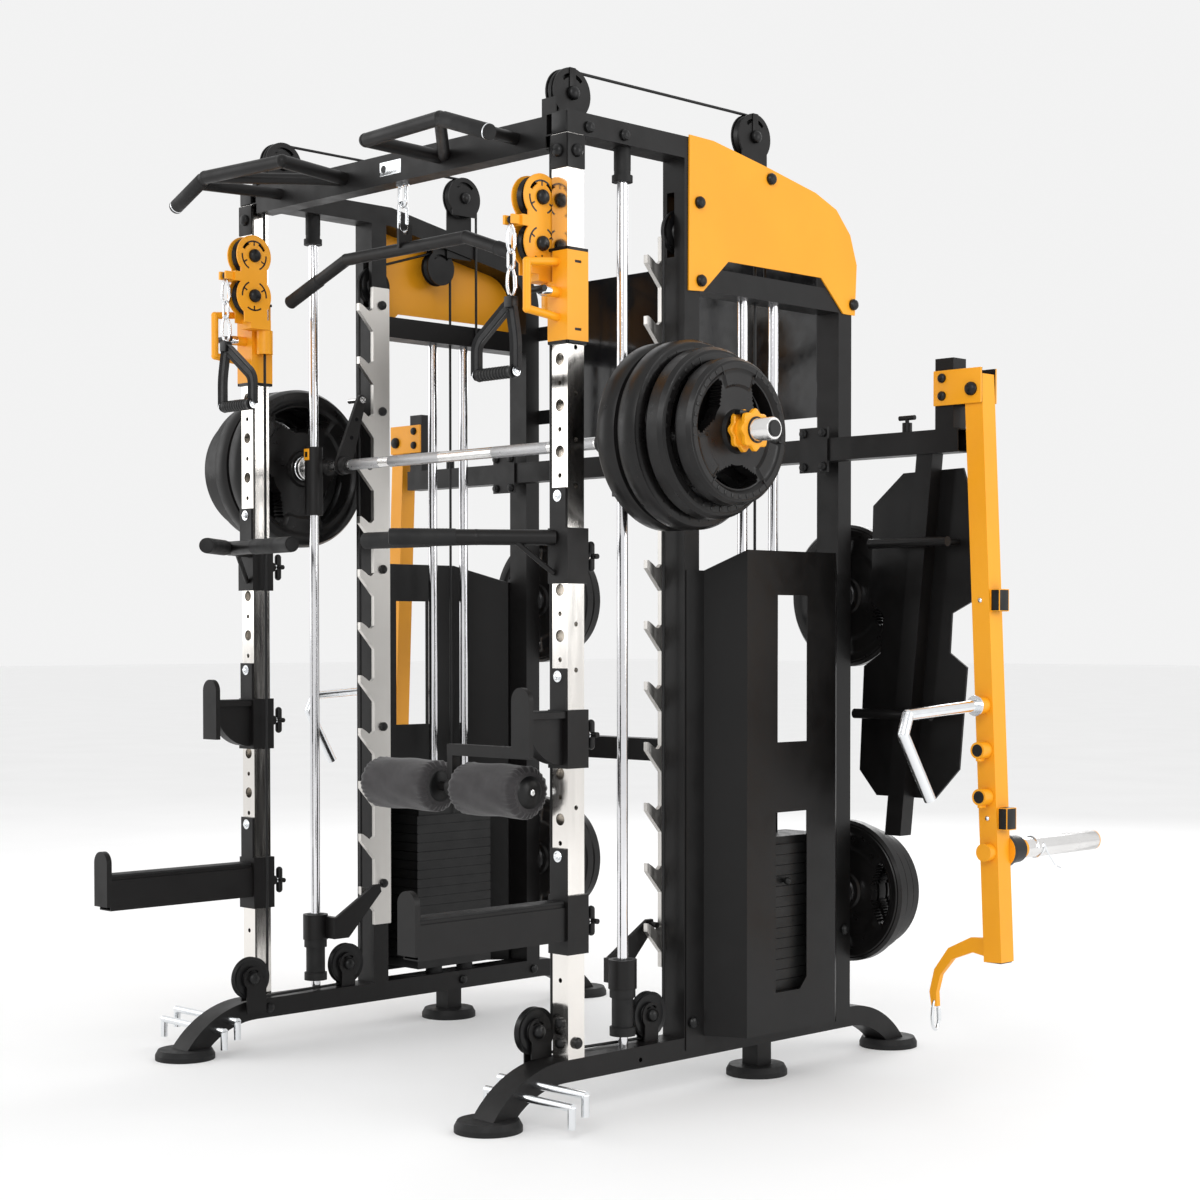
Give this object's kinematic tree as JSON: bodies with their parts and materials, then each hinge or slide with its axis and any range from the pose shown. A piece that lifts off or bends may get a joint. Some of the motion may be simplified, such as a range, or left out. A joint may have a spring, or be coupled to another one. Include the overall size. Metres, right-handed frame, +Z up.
{
  "type": "smith machine",
  "caption": "Multi-function smith machine with a guided bar in hook racks, two cable columns with weight stacks, pull-up handles, safety arms and side jammer arms.",
  "frame": {"origin": "centre of the footprint on the floor", "axes": "+X to the right-hand side as the lifter faces the rear, +Y to the rear, +Z up"},
  "size_m": [2.3214, 1.76, 2.3435],
  "materials": {
    "base_rails": "satin powder coat",
    "rubber_feet": "semi-gloss moulded rubber",
    "front_uprights": "polished",
    "mid_uprights": "satin powder coat",
    "rear_uprights": "satin powder coat",
    "top_side_beams": "satin powder coat",
    "front_top_beam": "satin powder coat",
    "rear_crossbeams": "satin powder coat",
    "back_panel": "gloss",
    "hook_plates": "brushed",
    "side_panels": "satin powder coat",
    "guide_rods": "polished",
    "rod_end_sockets": "semi-gloss moulded rubber",
    "stack_shrouds": "satin powder coat",
    "lower_weights": "semi-gloss moulded rubber",
    "pulley_brackets": "satin powder coat",
    "cables": "moulded",
    "bolt_caps": "moulded",
    "storage_plates": "semi-gloss moulded rubber",
    "foot_plate": "satin powder coat",
    "band_pegs": "polished",
    "slide_sleeves": "satin powder coat",
    "smith_bar": "polished",
    "bar_plates": "semi-gloss moulded rubber",
    "safety_catch_left": "satin powder coat",
    "safety_catch_right": "satin powder coat",
    "top_weights_left": "semi-gloss moulded rubber",
    "top_weights_right": "semi-gloss moulded rubber",
    "trolley_left": "satin powder coat",
    "trolley_right": "satin powder coat",
    "trolley_pin_left": "moulded",
    "trolley_pin_right": "moulded",
    "swivel_head_left": "satin powder coat",
    "swivel_head_right": "satin powder coat",
    "upper_swivel_pulley_left": "moulded",
    "upper_swivel_pulley_right": "moulded",
    "lower_swivel_pulley_left": "moulded",
    "lower_swivel_pulley_right": "moulded",
    "stirrup_handle_left": "moulded",
    "stirrup_handle_right": "moulded",
    "front_top_pulley_left": "moulded",
    "front_top_pulley_right": "moulded",
    "rear_top_pulley_left": "moulded",
    "rear_top_pulley_right": "moulded",
    "base_front_pulley_left": "moulded",
    "base_front_pulley_right": "moulded",
    "base_mid_pulley_left": "moulded",
    "base_mid_pulley_right": "moulded",
    "slot_pulley_left": "moulded",
    "slot_pulley_right": "moulded",
    "dip_bar_left": "satin powder coat",
    "dip_bar_right": "satin powder coat",
    "j_cup_left": "satin powder coat",
    "j_cup_right": "satin powder coat",
    "spotter_arm_left": "satin powder coat",
    "spotter_arm_right": "satin powder coat",
    "leg_rollers": "ruched foam cover",
    "jammer_arm_left": "satin powder coat",
    "jammer_arm_right": "satin powder coat",
    "lat_bar": "satin powder coat"
  },
  "bodies": {
    "frame": {"base_rails": "base_rails", "rubber_feet": "rubber_feet", "front_uprights": "front_uprights", "mid_uprights": "mid_uprights", "rear_uprights": "rear_uprights", "top_side_beams": "top_side_beams", "front_top_beam": "front_top_beam", "rear_crossbeams": "rear_crossbeams", "back_panel": "back_panel", "hook_plates": "hook_plates", "side_panels": "side_panels", "guide_rods": "guide_rods", "rod_end_sockets": "rod_end_sockets", "stack_shrouds": "stack_shrouds", "lower_weights": "lower_weights", "pulley_brackets": "pulley_brackets", "cables": "cables", "bolt_caps": "bolt_caps", "storage_plates": "storage_plates", "foot_plate": "foot_plate", "band_pegs": "band_pegs"},
    "carriages": {"slide_sleeves": "slide_sleeves"},
    "bar": {"smith_bar": "smith_bar", "bar_plates": "bar_plates"},
    "leg_rollers": {"leg_rollers": "leg_rollers"},
    "lat_bar": {"lat_bar": "lat_bar"},
    "safety_catch_left": {"safety_catch_left": "safety_catch_left"},
    "top_weights_left": {"top_weights_left": "top_weights_left"},
    "trolley_left": {"trolley_left": "trolley_left"},
    "trolley_pin_left": {"trolley_pin_left": "trolley_pin_left"},
    "swivel_head_left": {"swivel_head_left": "swivel_head_left"},
    "upper_swivel_pulley_left": {"upper_swivel_pulley_left": "upper_swivel_pulley_left"},
    "lower_swivel_pulley_left": {"lower_swivel_pulley_left": "lower_swivel_pulley_left"},
    "stirrup_handle_left": {"stirrup_handle_left": "stirrup_handle_left"},
    "front_top_pulley_left": {"front_top_pulley_left": "front_top_pulley_left"},
    "rear_top_pulley_left": {"rear_top_pulley_left": "rear_top_pulley_left"},
    "base_front_pulley_left": {"base_front_pulley_left": "base_front_pulley_left"},
    "base_mid_pulley_left": {"base_mid_pulley_left": "base_mid_pulley_left"},
    "slot_pulley_left": {"slot_pulley_left": "slot_pulley_left"},
    "dip_bar_left": {"dip_bar_left": "dip_bar_left"},
    "j_cup_left": {"j_cup_left": "j_cup_left"},
    "spotter_arm_left": {"spotter_arm_left": "spotter_arm_left"},
    "jammer_arm_left": {"jammer_arm_left": "jammer_arm_left"},
    "safety_catch_right": {"safety_catch_right": "safety_catch_right"},
    "top_weights_right": {"top_weights_right": "top_weights_right"},
    "trolley_right": {"trolley_right": "trolley_right"},
    "trolley_pin_right": {"trolley_pin_right": "trolley_pin_right"},
    "swivel_head_right": {"swivel_head_right": "swivel_head_right"},
    "upper_swivel_pulley_right": {"upper_swivel_pulley_right": "upper_swivel_pulley_right"},
    "lower_swivel_pulley_right": {"lower_swivel_pulley_right": "lower_swivel_pulley_right"},
    "stirrup_handle_right": {"stirrup_handle_right": "stirrup_handle_right"},
    "front_top_pulley_right": {"front_top_pulley_right": "front_top_pulley_right"},
    "rear_top_pulley_right": {"rear_top_pulley_right": "rear_top_pulley_right"},
    "base_front_pulley_right": {"base_front_pulley_right": "base_front_pulley_right"},
    "base_mid_pulley_right": {"base_mid_pulley_right": "base_mid_pulley_right"},
    "slot_pulley_right": {"slot_pulley_right": "slot_pulley_right"},
    "dip_bar_right": {"dip_bar_right": "dip_bar_right"},
    "j_cup_right": {"j_cup_right": "j_cup_right"},
    "spotter_arm_right": {"spotter_arm_right": "spotter_arm_right"},
    "jammer_arm_right": {"jammer_arm_right": "jammer_arm_right"}
  },
  "joints": [
    {"name": "bar_lift", "type": "slide", "parent": "frame", "child": "carriages", "axis": [0, 0, 1], "range_m": [-0.71, 0.426]},
    {"name": "bar_turn", "type": "hinge", "parent": "carriages", "child": "bar", "pos_m": [0, -0.2, 1.52], "axis": [-1, 0, 0], "range_deg": [0, 18.5]},
    {"name": "roller_spin", "type": "hinge", "parent": "j_cup_right", "child": "leg_rollers", "pos_m": [0, -0.47, 0.722], "axis": [1, 0, 0], "continuous": true},
    {"name": "lat_swing", "type": "hinge", "parent": "frame", "child": "lat_bar", "pos_m": [0.015, -0.415, 2.104], "axis": [1, 0, 0], "range_deg": [-8, 8]},
    {"name": "catch_swing_left", "type": "hinge", "parent": "frame", "child": "safety_catch_left", "pos_m": [-0.58, -0.235, 0.3], "axis": [0, 0, -1], "range_deg": [0, 40]},
    {"name": "stack_lift_left", "type": "slide", "parent": "frame", "child": "top_weights_left", "axis": [0, 0, 1], "range_m": [0, 0.9]},
    {"name": "trolley_slide_left", "type": "slide", "parent": "frame", "child": "trolley_left", "axis": [0, 0, 1], "range_m": [-0.2, 0]},
    {"name": "trolley_pin_pull_left", "type": "slide", "parent": "trolley_left", "child": "trolley_pin_left", "axis": [0, -1, 0], "range_m": [0, 0.012], "stiffness_N_per_m": 600, "springref_m": -0.01},
    {"name": "head_swivel_left", "type": "hinge", "parent": "trolley_left", "child": "swivel_head_left", "pos_m": [-0.54, -0.42, 1.825], "axis": [0, 0, -1], "range_deg": [-30, 5]},
    {"name": "upper_wheel_turn_left", "type": "hinge", "parent": "swivel_head_left", "child": "upper_swivel_pulley_left", "pos_m": [-0.54, -0.467, 2.04], "axis": [1, 0, 0], "continuous": true},
    {"name": "lower_wheel_turn_left", "type": "hinge", "parent": "swivel_head_left", "child": "lower_swivel_pulley_left", "pos_m": [-0.54, -0.467, 1.938], "axis": [1, 0, 0], "continuous": true},
    {"name": "handle_swing_left", "type": "hinge", "parent": "swivel_head_left", "child": "stirrup_handle_left", "pos_m": [-0.54, -0.539, 1.984], "axis": [1, 0, 0], "range_deg": [-60, 6]},
    {"name": "front_top_pulley_turn_left", "type": "hinge", "parent": "frame", "child": "front_top_pulley_left", "pos_m": [-0.54, -0.367, 2.2865], "axis": [1, 0, 0], "continuous": true},
    {"name": "rear_top_pulley_turn_left", "type": "hinge", "parent": "frame", "child": "rear_top_pulley_left", "pos_m": [-0.54, 0.247, 2.2865], "axis": [1, 0, 0], "continuous": true},
    {"name": "base_front_pulley_turn_left", "type": "hinge", "parent": "frame", "child": "base_front_pulley_left", "pos_m": [-0.54, -0.473, 0.19], "axis": [1, 0, 0], "continuous": true},
    {"name": "base_mid_pulley_turn_left", "type": "hinge", "parent": "frame", "child": "base_mid_pulley_left", "pos_m": [-0.57, -0.143, 0.19], "axis": [1, 0, 0], "continuous": true},
    {"name": "slot_pulley_turn_left", "type": "hinge", "parent": "frame", "child": "slot_pulley_left", "pos_m": [-0.57, -0.041, 2.015], "axis": [1, 0, 0], "continuous": true},
    {"name": "dip_bar_slide_left", "type": "slide", "parent": "frame", "child": "dip_bar_left", "axis": [0, 0, 1], "range_m": [-0.102, 0.05]},
    {"name": "j_cup_slide_left", "type": "slide", "parent": "frame", "child": "j_cup_left", "axis": [0, 0, 1], "range_m": [-0.05, 0.05]},
    {"name": "spotter_slide_left", "type": "slide", "parent": "frame", "child": "spotter_arm_left", "axis": [0, 0, 1], "range_m": [-0.102, 0.1]},
    {"name": "jammer_swing_left", "type": "hinge", "parent": "frame", "child": "jammer_arm_left", "pos_m": [-1.065, 0.469, 1.651], "axis": [0, 1, 0], "range_deg": [0, 95]},
    {"name": "catch_swing_right", "type": "hinge", "parent": "frame", "child": "safety_catch_right", "pos_m": [0.58, -0.235, 0.3], "axis": [0, 0, 1], "range_deg": [0, 40]},
    {"name": "stack_lift_right", "type": "slide", "parent": "frame", "child": "top_weights_right", "axis": [0, 0, 1], "range_m": [0, 0.9]},
    {"name": "trolley_slide_right", "type": "slide", "parent": "frame", "child": "trolley_right", "axis": [0, 0, 1], "range_m": [-0.2, 0]},
    {"name": "trolley_pin_pull_right", "type": "slide", "parent": "trolley_right", "child": "trolley_pin_right", "axis": [0, -1, 0], "range_m": [0, 0.012], "stiffness_N_per_m": 600, "springref_m": -0.01},
    {"name": "head_swivel_right", "type": "hinge", "parent": "trolley_right", "child": "swivel_head_right", "pos_m": [0.54, -0.42, 1.825], "axis": [0, 0, 1], "range_deg": [-30, 5]},
    {"name": "upper_wheel_turn_right", "type": "hinge", "parent": "swivel_head_right", "child": "upper_swivel_pulley_right", "pos_m": [0.54, -0.467, 2.04], "axis": [1, 0, 0], "continuous": true},
    {"name": "lower_wheel_turn_right", "type": "hinge", "parent": "swivel_head_right", "child": "lower_swivel_pulley_right", "pos_m": [0.54, -0.467, 1.938], "axis": [1, 0, 0], "continuous": true},
    {"name": "handle_swing_right", "type": "hinge", "parent": "swivel_head_right", "child": "stirrup_handle_right", "pos_m": [0.54, -0.539, 1.984], "axis": [1, 0, 0], "range_deg": [-60, 6]},
    {"name": "front_top_pulley_turn_right", "type": "hinge", "parent": "frame", "child": "front_top_pulley_right", "pos_m": [0.54, -0.367, 2.2865], "axis": [1, 0, 0], "continuous": true},
    {"name": "rear_top_pulley_turn_right", "type": "hinge", "parent": "frame", "child": "rear_top_pulley_right", "pos_m": [0.54, 0.247, 2.2865], "axis": [1, 0, 0], "continuous": true},
    {"name": "base_front_pulley_turn_right", "type": "hinge", "parent": "frame", "child": "base_front_pulley_right", "pos_m": [0.54, -0.473, 0.19], "axis": [1, 0, 0], "continuous": true},
    {"name": "base_mid_pulley_turn_right", "type": "hinge", "parent": "frame", "child": "base_mid_pulley_right", "pos_m": [0.57, -0.143, 0.19], "axis": [1, 0, 0], "continuous": true},
    {"name": "slot_pulley_turn_right", "type": "hinge", "parent": "frame", "child": "slot_pulley_right", "pos_m": [0.57, -0.041, 2.015], "axis": [1, 0, 0], "continuous": true},
    {"name": "dip_bar_slide_right", "type": "slide", "parent": "frame", "child": "dip_bar_right", "axis": [0, 0, 1], "range_m": [-0.102, 0.05]},
    {"name": "j_cup_slide_right", "type": "slide", "parent": "frame", "child": "j_cup_right", "axis": [0, 0, 1], "range_m": [-0.05, 0.05]},
    {"name": "spotter_slide_right", "type": "slide", "parent": "frame", "child": "spotter_arm_right", "axis": [0, 0, 1], "range_m": [-0.102, 0.1]},
    {"name": "jammer_swing_right", "type": "hinge", "parent": "frame", "child": "jammer_arm_right", "pos_m": [1.065, 0.469, 1.651], "axis": [0, -1, 0], "range_deg": [0, 95]}
  ]
}
